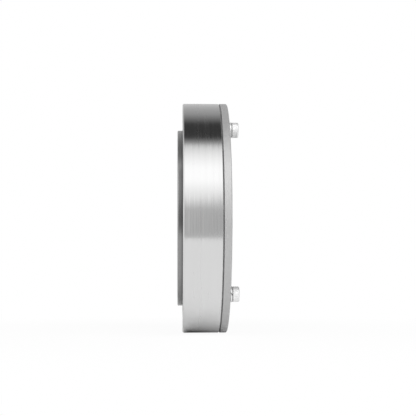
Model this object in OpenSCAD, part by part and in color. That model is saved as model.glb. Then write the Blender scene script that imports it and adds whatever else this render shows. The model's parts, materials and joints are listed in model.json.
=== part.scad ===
// Flat silk-hat strain wave gear with its crossed roller bearing.
// The wave generator flexes a toothed steel barrel inside a rigid internal gear. That gear has two teeth
// more than the barrel, so one turn of the wave generator moves it by two teeth.
// The turning axis is X. X = 0 is the front face of the bearing's outer ring, and the output faces -X.

/* [Gearing] */
// Tooth size, the pitch diameter per tooth
gear_module = 0.5; // [0.41:0.01:0.6]
// Teeth on the flexible barrel, a multiple of four
flex_teeth = 100; // [84:4:104]
// Teeth that the rigid gear has more than the barrel
teeth_extra = 2; // [2:2:2]
// Slope of the tooth flanks from the radial line
flank_angle = 28; // [26:0.5:30]
// Gap between meshed flanks, along the pitch circle
flank_gap = 0.07; // [0.05:0.01:0.1]
// Length of the toothed part of the barrel
tooth_length = 8.7; // [7.5:0.1:9.5]

/* [Bearing rings] */
// Diameter over the outer ring
case_d = 90; // [88:0.5:108]
// Width of the outer ring
case_w = 14; // [13.5:0.25:17]
// Diameter of the output spigot
spigot_d = 69; // [68:0.25:70]
// How far the output spigot stands out of the outer ring
spigot_proud = 2; // [1:0.25:4]
// Diameter of the recess in the output's face, which centres the driven part
recess_d = 56.8; // [54:0.2:57]
// How much larger the seal's running surface is than the spigot, on the radius
seal_step = 0.4; // [0.35:0.05:0.6]
// Pitch diameter of the crossed rollers
roller_pitch_d = 74; // [73.5:0.1:75]
// Diameter of a crossed roller
roller_d = 2.5; // [2:0.05:3]
// Rollers in the bearing, an even number
roller_count = 72; // [48:2:72]
// Distance of the roller row from the outer ring's front face
roller_x = 6.5; // [6:0.1:7]
// Running gap between the rings beside the rollers
ring_gap = 0.3; // [0.2:0.05:0.4]

/* [Flexible gear] */
// Thickness of the clamping flange
flange_t = 3; // [2.5:0.25:5]
// How much smaller the flange is than the outer ring, on the diameter
flange_step = 0; // [0:0.1:1]
// Width of the narrow groove at the joint between the ring and the flange
joint_groove = 0.3; // [0.1:0.05:0.6]
// Wall of the barrel under the teeth
rim_wall = 0.45; // [0.35:0.01:0.5]
// Wall of the barrel between the teeth and the diaphragm
barrel_wall = 0.38; // [0.25:0.01:0.4]
// Thickness of the diaphragm
diaphragm_t = 0.5; // [0.4:0.05:1]

/* [Wave generator] */
// Ball diameter
ball_d = 3.5; // [2.9:0.1:4.2]
// Number of balls
ball_count = 23; // [15:1:23]
// Wall of the flexible outer race at its rims
outer_race_wall = 1.8; // [1.6:0.05:2]
// Wall of the inner race at its rims
inner_race_wall = 1.55; // [1.4:0.05:1.8]
// Width of the ball bearing
race_w = 6; // [5:0.1:6.5]
// Diameter of the input bore
input_bore_d = 9; // [6:0.5:11]
// Width of the keyway
key_w = 3; // [2:0.5:4]
// Height across the bore and the keyway
key_height = 10.4; // [9.9:0.1:12.4]
// Diameter of the hub
hub_d = 17; // [16:0.25:19]

/* [Fastening] */
// Bolt circle of the case
case_pcd = 84; // [82:0.5:84]
// Through holes in the case, a multiple of four
case_holes = 12; // [8:4:12]
// Diameter of a case hole
case_hole_d = 3.5; // [3:0.1:4.2]
// Bolt circle of the output
output_pcd = 61.4; // [60.8:0.1:62]
// Tapped holes in the output
output_holes = 12; // [6:2:16]
// Diameter of the tap drill for the output threads
output_tap_d = 2.5; // [2:0.1:2.5]
// Depth of the output threads
output_depth = 7; // [4:0.5:8]
// Thread diameter of the assembly screws
screw_d = 3; // [2.5:0.5:3]
// Number of assembly screws
screw_count = 4; // [4:4:4]
// Height of the assembly screws' heads
head_h = 2.5; // [2:0.1:3]
// Bolt circle of the jacking threads in the wave generator's cam
jack_pcd = 24; // [23:0.5:28]

/* [Hidden] */
$fn = 48;

steel_bright = "#c9cacb";
steel_dark = "#77787b";
steel_peened = "#b4b4b2";
nitrile = "#222222";
polyamide = "#b89a63";

// Steps round the shapes that follow the wave, and round the turned ones
wave_steps = 144;
round_steps = 180;
fit = 0.01;          // between pieces that are pressed or bonded together
running = 0.05;      // between pieces that slide on each other
edge = 0.4;          // chamfer of a turned edge
small_edge = 0.25;   // chamfer of an edge that meets another piece
break_edge = 0.2;    // chamfer that only takes the sharpness off a corner
mouth = 0.25;        // chamfer at the mouth of a hole

// Gear sizes. The wave lifts the barrel by one tooth size, halved, per extra tooth.
rigid_teeth = flex_teeth + teeth_extra;
wave = gear_module * teeth_extra / 2;
flex_pitch_r = gear_module * flex_teeth / 2;
rigid_pitch_r = gear_module * rigid_teeth / 2;
flex_tip_r = flex_pitch_r + 0.8 * gear_module;
flex_root_r = flex_pitch_r - 1.1 * gear_module;
rigid_tip_r = rigid_pitch_r - 0.9 * gear_module;
rigid_root_r = rigid_pitch_r + gear_module;
flex_half_tooth = 0.7 * gear_module;
rim_bore_r = flex_root_r - rim_wall;
neutral_r = flex_root_r - rim_wall / 2;
barrel_out_r = min(neutral_r + barrel_wall / 2, flex_root_r - 0.03);
barrel_in_r = max(neutral_r - barrel_wall / 2, rim_bore_r + 0.03);

// Sizes of the output. A larger gear pushes its threads and its spigot outwards.
output_wall = 0.8;
recess_r = max(recess_d / 2, rigid_root_r + edge);
output_r = max(output_pcd / 2, rigid_root_r + output_wall + output_tap_d / 2);
spigot_r = max(spigot_d / 2, output_r + output_tap_d / 2 + output_wall);

// Places along the axis
case_r = case_d / 2;
tooth_x = 0.5;
tooth_end_x = tooth_x + tooth_length;
rigid_front_x = tooth_x - 0.2;
rigid_end_x = tooth_end_x + 0.1;
output_end_x = roller_x + 4.3;
flange_r = case_r - flange_step / 2;
flange_x = case_w;
rear_x = case_w + flange_t;
bearing_x = tooth_x + tooth_length / 2;
bearing_front_x = bearing_x - race_w / 2;
bearing_rear_x = bearing_x + race_w / 2;

// Crossed roller bearing
pitch_r = roller_pitch_d / 2;
roller_r = roller_d / 2;
roller_play = 0.02;
groove = (roller_r + roller_play) * sqrt(2);
groove_relief = 0.25;
groove_span = groove + 0.3;
inner_ring_r = pitch_r - ring_gap / 2;
outer_bore_r = pitch_r + ring_gap / 2;
roller_step = 360 / roller_count;
plug_angle = 285;
plug_r = roller_r + 0.35;
plug_sunk = 0.15;    // how far the plug's end lies under the rim
pin_r = 0.75;
pin_length = 10;
pin_at_r = case_r - 2.4;

// Front seal, between the output and the outer ring
seal_land_r = spigot_r + seal_step;
seal_seat_r = seal_land_r + 3.3;
seal_x = 0.3;
seal_w = 2.5;
seal_sheet = 0.4;
seal_web = 1.9;
seal_lip_r = seal_land_r + running;
seal_lip_t = 0.75;
spring_wire_r = 0.25;
spring_x = seal_x + 1.7;

// O-ring between the outer ring and the flange. Its groove squeezes it flat.
o_ring_r = outer_bore_r + 1.55;
o_groove_w = 1.3;
o_groove_depth = 0.8;
o_ring_play = 0.07;  // between the O-ring and each side of its groove

// Ball bearing of the wave generator
ball_r = ball_d / 2;
ball_clearance = 0.07;
groove_depth = 0.6;
rim_gap = ball_r - groove_depth;
race_outer_r = rim_bore_r - running;
race_inner_r = race_outer_r - outer_race_wall - inner_race_wall - 2 * rim_gap;
ball_pitch_r = race_outer_r - outer_race_wall - rim_gap;
cage_gap = 0.4;
cage_half = rim_gap - cage_gap;

// Hub and cam
hub_r = hub_d / 2;
cam_front_x = bearing_front_x - 0.6;
cam_rear_x = bearing_rear_x + 0.5;
hub_front_x = 0.4;
hub_rear_x = flange_x - 2;
set_screw_x = (cam_rear_x + hub_rear_x) / 2;
set_screw_r = 1.25;
set_screw_key = 1.3; // across the flats of the set screws' sockets

// Case holes and assembly screws. The screws' washers end level with the ring's rim.
bolt_r = case_pcd / 2;
screw_r = screw_d / 2;
head_r = screw_r + 1.25;
washer_r = head_r + 0.1;
washer_t = 0.7;
screws_at_r = case_r - washer_r;
screw_length = 8;
screw_seat_x = rear_x + washer_t;
screw_angle = 45;
screw_key = 2.5;     // across the flats of the screws' sockets

// The axis of the children, drawn along Z, becomes X. Angles start at the top.
module on_axis() {
    rotate([0, 90, 0]) rotate([0, 0, 180]) children();
}

// A turned piece from its outline, given as [place along the axis, radius]
module turned(outline) {
    rotate_extrude($fn = round_steps) polygon([for (p = outline) [p[1], p[0]]]);
}

// Copies in a circle round the axis, the first at an angle from the top
module around(count, radius, first = 0) {
    for (i = [0 : count - 1])
        rotate([0, 0, first + i * 360 / count]) translate([radius, 0, 0]) children();
}

// A straight round bar along the axis, for holes and shanks
module hole(from_x, to_x, radius) {
    translate([0, 0, from_x]) cylinder(r = radius, h = to_x - from_x);
}

// The chamfer at a hole's mouth, which opens towards the front (-1) or the rear (1)
module flare(at_x, radius, side) {
    translate([0, 0, at_x]) rotate([side > 0 ? 0 : 180, 0, 0]) translate([0, 0, -mouth])
        cylinder(r1 = radius, r2 = radius + 2 * mouth, h = 2 * mouth);
}

function arc(centre, radius, from, to, steps) =
    [for (i = [0 : steps]) let (a = from + (to - from) * i / steps)
        centre + radius * [cos(a), sin(a)]];

// The wave: how far a wall is pushed out, and along, at an angle from the crest
function lift(angle) = wave * cos(2 * angle);
function slip(angle) = -wave / 2 * sin(2 * angle);
function lean(angle) = 1.5 * wave / neutral_r * sin(2 * angle) * 180 / PI;

// A closed outline that follows the wave at a given radius
function waved_outline(radius) =
    [for (i = [0 : wave_steps - 1])
        let (a = i * 360 / wave_steps, r = radius + lift(a)) r * [cos(a), sin(a)]];

// A flexed ring from its cross-section: [place along the axis, radius, share of the wave] for each corner
module flexed_ring(section) {
    n = len(section);
    points = [
        for (i = [0 : wave_steps - 1], s = section)
            let (a = i * 360 / wave_steps, r = s[1] + s[2] * lift(a)) [r * cos(a), r * sin(a), s[0]]
    ];
    faces = [
        for (i = [0 : wave_steps - 1], j = [0 : n - 1])
            let (i2 = (i + 1) % wave_steps, j2 = (j + 1) % n,
                 a = i * n + j, b = i * n + j2, c = i2 * n + j2, d = i2 * n + j)
            for (face = [[a, b, c], [a, c, d]]) face
    ];
    polyhedron(points, faces);
}

// One corner of a flexed tooth: the tooth sits on the neutral line at its own angle and leans with it
function flexed_corner(angle, radius, half_width) =
    let (tilt = angle + lean(angle),
         foot = (neutral_r + lift(angle)) * [cos(angle), sin(angle)]
             + slip(angle) * [-sin(angle), cos(angle)])
    foot + (radius - neutral_r) * [cos(tilt), sin(tilt)] + half_width * [-sin(tilt), cos(tilt)];

function flex_half_width(radius) = flex_half_tooth - (radius - flex_pitch_r) * tan(flank_angle);

function flex_tooth(angle) =
    let (root = flex_half_width(flex_root_r), tip = flex_half_width(flex_tip_r))
    [flexed_corner(angle, flex_root_r, -root), flexed_corner(angle, flex_tip_r, -tip),
     flexed_corner(angle, flex_tip_r, tip), flexed_corner(angle, flex_root_r, root)];

function flex_outline() =
    [for (i = [0 : flex_teeth - 1]) for (corner = flex_tooth(i * 360 / flex_teeth)) corner];

// The rigid gear's tooth spaces, wider than the barrel's teeth by the flank gap
function space_half_width(radius) =
    flex_half_tooth + flank_gap - (radius - rigid_pitch_r) * tan(flank_angle);

function rigid_space(angle) =
    let (tip = space_half_width(rigid_tip_r), root = space_half_width(rigid_root_r),
         out = [cos(angle), sin(angle)], side = [-sin(angle), cos(angle)])
    [rigid_tip_r * out - tip * side, rigid_root_r * out - root * side,
     rigid_root_r * out + root * side, rigid_tip_r * out + tip * side];

function rigid_outline() =
    [for (i = [0 : rigid_teeth - 1]) for (corner = rigid_space(i * 360 / rigid_teeth)) corner];

// The V-shaped raceway: half of a square channel that stands on its corner, with a relief at its bottom
function raceway(edge_r, side) =
    let (reach = groove - abs(edge_r - pitch_r), bottom = pitch_r + side * groove)
    [[roller_x - reach, edge_r], [roller_x - groove_relief, bottom - side * groove_relief],
     [roller_x - groove_relief, bottom], [roller_x + groove_relief, bottom],
     [roller_x + groove_relief, bottom - side * groove_relief], [roller_x + reach, edge_r]];

module roller_place(i) {
    rotate([0, 0, i * roller_step]) translate([pitch_r, 0, roller_x]) children();
}

module roller(direction, radius, length) {
    rotate([0, direction * 45, 0]) cylinder(r = radius, h = length, center = true);
}

module plug_hole(clearance) {
    rotate([0, 0, plug_angle]) translate([0, 0, roller_x]) rotate([0, 90, 0])
        translate([0, 0, pitch_r]) cylinder(r = plug_r + clearance, h = case_r);
}

module plug_pin_hole(clearance) {
    rotate([0, 0, plug_angle]) translate([pin_at_r, 0, -1])
        cylinder(r = pin_r + clearance, h = pin_length + 1 + clearance);
}

module ring_raceway() {
    turned(concat([[roller_x - groove_span, outer_bore_r - edge]], raceway(outer_bore_r, 1),
                  [[roller_x + groove_span, outer_bore_r - edge]]));
}

module outer_ring() {
    seat_end_x = seal_x + seal_w + 0.2;
    groove_x = case_w - o_groove_depth;
    body = [
        [0, seal_seat_r + break_edge], [0, case_r - edge], [edge, case_r],
        [case_w - small_edge, case_r], [case_w, case_r - small_edge], [case_w, outer_bore_r + break_edge],
        [case_w - break_edge, outer_bore_r], [seat_end_x, outer_bore_r],
        [seat_end_x, seal_seat_r], [break_edge, seal_seat_r]
    ];
    color(steel_bright) on_axis() difference() {
        turned(body);
        ring_raceway();
        turned([[groove_x, o_ring_r - o_groove_w / 2], [case_w + 1, o_ring_r - o_groove_w / 2],
                [case_w + 1, o_ring_r + o_groove_w / 2], [groove_x, o_ring_r + o_groove_w / 2]]);
        around(case_holes, bolt_r) hole(-1, case_w + 1, case_hole_d / 2);
        around(case_holes, bolt_r) flare(0, case_hole_d / 2, -1);
        around(screw_count, screws_at_r, screw_angle)
            hole(screw_seat_x - screw_length - 1, case_w + 1, screw_r + fit);
        plug_hole(fit);
        plug_pin_hole(fit);
    }
}

// The rollers go in through a hole in the rim, which this plug closes
module roller_plug() {
    color(steel_bright) on_axis() difference() {
        intersection() {
            plug_hole(0);
            turned([[0, outer_bore_r], [case_w, outer_bore_r],
                    [case_w, case_r - plug_sunk], [0, case_r - plug_sunk]]);
        }
        ring_raceway();
        plug_pin_hole(fit);
    }
}

module plug_pin() {
    color(steel_dark) on_axis() intersection() {
        plug_pin_hole(0);
        turned([[0.1, 0], [0.1, case_r], [pin_length, case_r], [pin_length, 0]]);
    }
}

// The flexible gear: a toothed barrel, held in the shape of the wave at its open end, a thin diaphragm
// that lets it flex, and a stiff flange.
module flexspline() {
    round_start_x = flange_x - 1;
    diaphragm_x = flange_x + diaphragm_t;
    flange_bore_r = outer_bore_r + 0.65;
    register_r = outer_bore_r - running;
    land_x = flange_x + joint_groove;
    groove_r = flange_r - 0.6;
    barrel_steps = 5;
    // Along the barrel the wave dies out as half a cosine
    share = [for (i = [0 : barrel_steps]) (1 + cos(180 * i / barrel_steps)) / 2];
    place = [for (i = [0 : barrel_steps]) tooth_end_x + (round_start_x - tooth_end_x) * i / barrel_steps];
    section = concat(
        [for (i = [0 : barrel_steps]) [place[i], barrel_out_r, share[i]]],
        [for (i = [barrel_steps : -1 : 0]) [place[i], barrel_in_r, share[i]]]
    );
    disc = concat(
        [[round_start_x, rim_bore_r], [round_start_x, flex_root_r]],
        arc([round_start_x, flex_root_r + 1], 1, 270, 360, 6),
        [[flange_x, register_r - 1.4], [flange_x - 0.8, register_r - 1], [flange_x - 0.8, register_r],
         [flange_x, register_r], [flange_x, groove_r], [land_x, groove_r], [land_x, flange_r - 0.1],
         [land_x + 0.1, flange_r], [rear_x - small_edge, flange_r], [rear_x, flange_r - small_edge],
         [rear_x, flange_bore_r + break_edge], [rear_x - break_edge, flange_bore_r]],
        arc([diaphragm_x + 1.2, flange_bore_r - 1.2], 1.2, 90, 180, 6),
        arc([diaphragm_x - 1.4, rim_bore_r + 1.4], 1.4, 0, -90, 6)
    );
    color(steel_peened) on_axis() difference() {
        union() {
            translate([0, 0, tooth_x]) linear_extrude(tooth_length) difference() {
                polygon(flex_outline());
                polygon(waved_outline(rim_bore_r));
            }
            flexed_ring(section);
            turned(disc);
        }
        around(case_holes, bolt_r) hole(flange_x - 1, rear_x + 1, case_hole_d / 2);
        around(case_holes, bolt_r) flare(rear_x, case_hole_d / 2, 1);
        around(screw_count, screws_at_r, screw_angle) hole(flange_x - 1, rear_x + 1, screw_r + running);
    }
}

// Squeezed into its groove by the flange
module flange_o_ring() {
    half_w = o_groove_w / 2 - o_ring_play;
    half_h = o_groove_depth / 2 - fit;
    middle_x = case_w - o_groove_depth / 2;
    color(nitrile) on_axis()
        turned([for (a = [0 : 22.5 : 337.5]) [middle_x + half_h * sin(a), o_ring_r + half_w * cos(a)]]);
}

module assembly_screws() {
    head_edge = 0.3;
    crown_x = screw_seat_x + head_h - head_edge;
    color(steel_bright) on_axis() around(screw_count, screws_at_r, screw_angle) difference() {
        union() {
            hole(screw_seat_x - screw_length, crown_x, screw_r);
            hole(screw_seat_x, crown_x, head_r);
            translate([0, 0, crown_x]) cylinder(r1 = head_r, r2 = head_r - head_edge, h = head_edge);
        }
        translate([0, 0, screw_seat_x + head_h / 2]) cylinder(d = screw_key / cos(30), h = head_h, $fn = 6);
    }
}

// Each washer is split at a slant
module spring_washers() {
    split = 0.4;
    slant = 25;
    color(steel_bright) on_axis() around(screw_count, screws_at_r, screw_angle) difference() {
        hole(rear_x, rear_x + washer_t, washer_r);
        hole(rear_x - 1, rear_x + 2, screw_r + running);
        translate([0, 0, rear_x + washer_t / 2]) rotate([0, 0, -45]) rotate([slant, 0, 0])
            translate([0, -split / 2, -2]) cube([washer_r + 1, split, 4]);
    }
}

// The seal's sheet-metal case, pressed into the outer ring
function seal_case_outline() =
    let (out_r = seal_seat_r - fit, in_r = out_r - seal_web, front_x = seal_x + 0.2)
    [[front_x, in_r], [front_x, out_r], [seal_x + seal_w, out_r], [seal_x + seal_w, out_r - seal_sheet],
     [front_x + seal_sheet, out_r - seal_sheet], [front_x + seal_sheet, in_r]];

module seal_case() {
    color(steel_dark) on_axis() turned(seal_case_outline());
}

// The rubber covers the case's front and carries the lip that runs on the spigot
module front_seal() {
    lip_r = seal_lip_r;
    web_r = seal_seat_r - fit - seal_web;
    color(nitrile) on_axis() difference() {
        turned([
            [seal_x, seal_seat_r - fit], [seal_x, lip_r + 0.5], [seal_x + 0.3, lip_r + 0.25],
            [seal_x + 0.8, lip_r + 0.25], [seal_x + 1.4, lip_r], [seal_x + 1.5, lip_r],
            [seal_x + 2.3, lip_r + 0.3], [seal_x + 2.3, lip_r + seal_lip_t],
            [seal_x + 1.1, lip_r + seal_lip_t], [seal_x + 0.9, web_r + 0.4],
            [seal_x + 0.9, seal_seat_r - fit - seal_sheet], [seal_x + 0.2, seal_seat_r - fit - seal_sheet],
            [seal_x + 0.2, seal_seat_r - fit]
        ]);
        turned(seal_case_outline());
        spring_ring(spring_wire_r + 0.03);
    }
}

// The garter spring lies in a groove round the lip
module spring_ring(wire_r) {
    translate([0, 0, spring_x]) rotate_extrude($fn = round_steps)
        translate([seal_lip_r + seal_lip_t, 0]) circle(r = wire_r, $fn = 24);
}

module seal_spring() {
    color(steel_bright) on_axis() spring_ring(spring_wire_r);
}

// The rigid internal gear is one piece with the bearing's inner ring, and is the output
module circular_spline() {
    front_x = -spigot_proud;
    land_x = -0.1;
    shoulder_x = seal_x + seal_w + 0.4;
    rear_bore_r = rigid_root_r + 1;
    lead = 0.3;
    body = concat(
        [[front_x, recess_r + lead], [front_x, spigot_r - lead], [front_x + lead, spigot_r],
         [land_x, spigot_r], [land_x, seal_land_r - break_edge], [land_x + lead, seal_land_r],
         [shoulder_x, seal_land_r], [shoulder_x, inner_ring_r - break_edge],
         [shoulder_x + break_edge, inner_ring_r]],
        raceway(inner_ring_r, -1),
        [[output_end_x - edge, inner_ring_r], [output_end_x, inner_ring_r - edge],
         [output_end_x, rear_bore_r + lead], [output_end_x - lead, rear_bore_r],
         [rigid_end_x, rear_bore_r], [rigid_end_x, rigid_root_r - 2], [rigid_front_x, rigid_root_r - 2],
         [rigid_front_x, recess_r], [front_x + lead, recess_r]]
    );
    color(steel_dark) on_axis() difference() {
        turned(body);
        translate([0, 0, rigid_front_x - 1]) linear_extrude(rigid_end_x - rigid_front_x + 2)
            polygon(rigid_outline());
        around(output_holes, output_r) hole(front_x - 1, front_x + output_depth, output_tap_d / 2);
        around(output_holes, output_r) flare(front_x, output_tap_d / 2, -1);
    }
}

module crossed_rollers(first, direction) {
    for (i = [first : 2 : roller_count - 1]) roller_place(i) roller(direction, roller_r, roller_d - 0.1);
}

module rollers_leaning_in() {
    color(steel_bright) on_axis() crossed_rollers(0, -1);
}

module rollers_leaning_out() {
    color(steel_bright) on_axis() crossed_rollers(1, 1);
}

// Each spacer is hollowed on both sides, to the two rollers that lean against it
module roller_spacers() {
    spacer_r = roller_r - 0.2;
    spacer_w = 1.6;
    color(polyamide) on_axis() for (i = [0 : roller_count - 1])
        rotate([0, 0, roller_step / 2]) difference() {
            roller_place(i) rotate([90, 0, 0])
                cylinder(r = spacer_r, h = spacer_w, center = true, $fn = 32);
            for (side = [-1, 1]) rotate([0, 0, side * roller_step / 2]) roller_place(i)
                roller((i % 2 == 0 ? 1 : -1) * side, roller_r + running, 2 * roller_d);
        }
}

module wave_cam() {
    color(steel_dark) on_axis() difference() {
        union() {
            translate([0, 0, cam_front_x]) linear_extrude(cam_rear_x - cam_front_x)
                polygon(waved_outline(race_inner_r - fit));
            turned([[hub_front_x, 0], [hub_front_x, hub_r - edge], [hub_front_x + edge, hub_r],
                    [hub_rear_x - edge, hub_r], [hub_rear_x, hub_r - edge], [hub_rear_x, 0]]);
        }
        hole(hub_front_x - 1, hub_rear_x + 1, input_bore_d / 2);
        flare(hub_front_x, input_bore_d / 2, -1);
        flare(hub_rear_x, input_bore_d / 2, 1);
        translate([0, -key_w / 2, hub_front_x - 1])
            cube([key_height - input_bore_d / 2, key_w, hub_rear_x - hub_front_x + 2]);
        around(4, jack_pcd / 2, 45) {
            hole(cam_front_x - 1, cam_rear_x + 1, output_tap_d / 2);
            flare(cam_front_x, output_tap_d / 2, -1);
            flare(cam_rear_x, output_tap_d / 2, 1);
        }
        for (a = [0, 90]) rotate([0, 0, a]) translate([0, 0, set_screw_x]) rotate([0, 90, 0])
            cylinder(r = set_screw_r + fit, h = hub_r + 1);
    }
}

// Two set screws, one over the key and one at a right angle to it
module hub_set_screws() {
    module set_screw(inner_r) {
        difference() {
            translate([0, 0, inner_r]) cylinder(r = set_screw_r, h = hub_r - 0.3 - inner_r);
            translate([0, 0, hub_r - 1.5]) cylinder(d = set_screw_key / cos(30), h = 3, $fn = 6);
        }
    }
    color(steel_dark) on_axis() translate([0, 0, set_screw_x]) {
        rotate([0, 90, 0]) set_screw(key_height - input_bore_d / 2 + 0.05);
        rotate([0, 0, 90]) rotate([0, 90, 0]) set_screw(input_bore_d / 2 + 0.2);
    }
}

function race_groove(from, to) =
    let (points = arc([bearing_x, ball_pitch_r], ball_r + ball_clearance, from, to, 8))
    [for (p = points) [p[0], p[1], 1]];

module bearing_outer_race() {
    rim_r = race_outer_r - outer_race_wall;
    spread = asin((rim_r - ball_pitch_r) / (ball_r + ball_clearance));
    color(steel_bright) on_axis() flexed_ring(concat(
        [[bearing_front_x, rim_r, 1], [bearing_front_x, race_outer_r - break_edge, 1],
         [bearing_front_x + break_edge, race_outer_r, 1], [bearing_rear_x - break_edge, race_outer_r, 1],
         [bearing_rear_x, race_outer_r - break_edge, 1], [bearing_rear_x, rim_r, 1]],
        race_groove(spread, 180 - spread)
    ));
}

module bearing_inner_race() {
    rim_r = race_inner_r + inner_race_wall;
    spread = asin((ball_pitch_r - rim_r) / (ball_r + ball_clearance));
    color(steel_bright) on_axis() flexed_ring(concat(
        [[bearing_rear_x, rim_r, 1], [bearing_rear_x, race_inner_r + break_edge, 1],
         [bearing_rear_x - break_edge, race_inner_r, 1], [bearing_front_x + break_edge, race_inner_r, 1],
         [bearing_front_x, race_inner_r + break_edge, 1], [bearing_front_x, rim_r, 1]],
        race_groove(180 + spread, 360 - spread)
    ));
}

module at_balls() {
    for (i = [0 : ball_count - 1]) let (a = i * 360 / ball_count)
        rotate([0, 0, a]) translate([ball_pitch_r + lift(a), 0, bearing_x]) children();
}

module bearing_balls() {
    color(steel_bright) on_axis() at_balls() sphere(r = ball_r, $fn = 64);
}

// A crown cage: its pockets open to the rear, so the balls snap in
module ball_cage() {
    rim = 0.8;
    opening = 0.4;
    color(polyamide) on_axis() difference() {
        translate([0, 0, bearing_x - ball_r - rim]) linear_extrude(ball_d + rim - opening) difference() {
            polygon(waved_outline(ball_pitch_r + cage_half));
            polygon(waved_outline(ball_pitch_r - cage_half));
        }
        at_balls() rotate([0, 90, 0]) cylinder(r = ball_r + ball_clearance, h = 4, center = true);
    }
}

outer_ring();
roller_plug();
plug_pin();
flexspline();
flange_o_ring();
assembly_screws();
spring_washers();
front_seal();
seal_case();
seal_spring();
circular_spline();
rollers_leaning_in();
rollers_leaning_out();
roller_spacers();
wave_cam();
bearing_inner_race();
bearing_balls();
ball_cage();
bearing_outer_race();
hub_set_screws();
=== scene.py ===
"""Strain wave gear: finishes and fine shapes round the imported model, laid out as an add-on."""

import json
import math

import bmesh
import bpy
import numpy as np
from mathutils import Matrix, Vector


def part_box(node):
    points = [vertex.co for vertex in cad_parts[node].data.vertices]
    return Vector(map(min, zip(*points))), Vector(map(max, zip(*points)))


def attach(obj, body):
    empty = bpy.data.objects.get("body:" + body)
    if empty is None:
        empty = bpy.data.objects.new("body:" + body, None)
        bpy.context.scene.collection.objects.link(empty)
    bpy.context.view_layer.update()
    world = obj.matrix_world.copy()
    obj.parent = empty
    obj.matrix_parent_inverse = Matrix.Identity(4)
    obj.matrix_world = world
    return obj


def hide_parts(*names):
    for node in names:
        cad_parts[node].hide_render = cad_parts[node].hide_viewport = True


bl_info = {
    "name": "Strain Wave Gear",
    "version": (1, 0, 0),
    "blender": (4, 5, 0),
    "location": "View3D > Sidebar > Strain Wave Gear",
    "description": "Finishes, teeth, races, screws and a studio for a flat strain wave gear",
    "category": "Object",
}

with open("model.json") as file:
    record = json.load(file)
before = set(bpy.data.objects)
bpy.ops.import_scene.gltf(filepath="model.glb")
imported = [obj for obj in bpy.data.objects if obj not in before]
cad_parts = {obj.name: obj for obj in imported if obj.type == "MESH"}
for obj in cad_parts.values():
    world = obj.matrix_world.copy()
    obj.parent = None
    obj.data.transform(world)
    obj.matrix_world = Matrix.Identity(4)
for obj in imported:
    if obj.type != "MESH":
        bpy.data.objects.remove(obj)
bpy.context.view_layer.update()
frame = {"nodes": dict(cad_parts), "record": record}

MM = 0.001
FULL_TURN = 2 * math.pi


def box_of(node):
    """Lowest and highest corner of a CAD node, as arrays, in metres."""
    low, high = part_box(node)
    return np.array(low), np.array(high)


FLOOR_HEIGHT = box_of("outer_ring")[0][2]
FLEX_LOW, FLEX_HIGH = box_of("flexspline")
OUTER_RACE_LOW, OUTER_RACE_HIGH = box_of("bearing_outer_race")
INNER_RACE_LOW, INNER_RACE_HIGH = box_of("bearing_inner_race")
BALLS_LOW, BALLS_HIGH = box_of("bearing_balls")
SCREWS_LOW, SCREWS_HIGH = box_of("assembly_screws")
WASHERS_LOW, WASHERS_HIGH = box_of("spring_washers")


def mount_radius(name):
    """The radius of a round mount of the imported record, in metres."""
    mount = next(item for item in frame["record"]["mounts"] if item["name"] == name)
    return mount["dims"]["r_mm"] * MM


SPIGOT_RADIUS = mount_radius("output_spigot")

# Points closer than WELD become one point, and edges shorter than CRUMB go, in metres
WELD = 1e-7
CRUMB = 1e-8

# Angles in degrees from which an edge is drawn sharp
SHARP_FROM = 30
FLANGE_SHARP_FROM = 25

# The part of a noise texture's values that is stretched over the whole range of a finish
NOISE_LOW, NOISE_HIGH = 0.25, 0.75

# Sectors of the rim where coarser grinding lines make the roughness uneven, and are painted into
# the colour as lighter and darker streaks, which are painted reflection streaks: the middle and the
# half width in degrees, from the side that faces -Y towards the top
STREAK_SECTORS = ((-4, 12), (34, 6), (130, 14), (205, 9), (262, 12))


# -----------------------------------------------------------------------------------------------
# Settings
# -----------------------------------------------------------------------------------------------


class GearSizes(bpy.types.PropertyGroup):
    """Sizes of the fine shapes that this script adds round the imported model."""

    tooth_count: bpy.props.IntProperty(
        name="Teeth", description="Teeth on the flexible barrel", default=100, min=20
    )
    module: bpy.props.FloatProperty(
        name="Module", description="Pitch diameter per tooth", default=0.5 * MM, unit="LENGTH"
    )
    wave: bpy.props.FloatProperty(
        name="Wave", description="How far the cam lifts the barrel at its crests",
        default=0.5 * MM, unit="LENGTH"
    )
    rim_bore: bpy.props.FloatProperty(
        name="Rim bore radius", description="Mean radius inside the toothed rim",
        default=24.0 * MM, unit="LENGTH"
    )
    rim_wall: bpy.props.FloatProperty(
        name="Rim wall", description="Wall under the teeth", default=0.45 * MM, unit="LENGTH"
    )
    barrel_wall: bpy.props.FloatProperty(
        name="Barrel wall", description="Wall between the teeth and the diaphragm",
        default=0.38 * MM, unit="LENGTH"
    )
    tooth_length: bpy.props.FloatProperty(
        name="Tooth length", description="Length of the toothed part", default=8.7 * MM,
        unit="LENGTH"
    )
    barrel_end: bpy.props.FloatProperty(
        name="Barrel end",
        description="Where the barrel's wave has died out, before the flange's rear face",
        default=3.95 * MM, unit="LENGTH"
    )
    ball_radius: bpy.props.FloatProperty(
        name="Ball radius", description="Radius of a bearing ball", default=1.75 * MM,
        unit="LENGTH"
    )
    outer_race_wall: bpy.props.FloatProperty(
        name="Outer race wall", description="Wall of the flexible outer race",
        default=1.8 * MM, unit="LENGTH"
    )
    inner_race_wall: bpy.props.FloatProperty(
        name="Inner race wall", description="Wall of the inner race", default=1.55 * MM,
        unit="LENGTH"
    )
    bolt_circle: bpy.props.FloatProperty(
        name="Bolt circle radius", description="Radius of the circle of assembly screws",
        default=42.15 * MM, unit="LENGTH"
    )
    screw_count: bpy.props.IntProperty(
        name="Screws", description="Number of assembly screws", default=4, min=1
    )
    thread: bpy.props.FloatProperty(
        name="Thread radius", description="Outer radius of the screws' thread",
        default=1.5 * MM, unit="LENGTH"
    )


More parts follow.
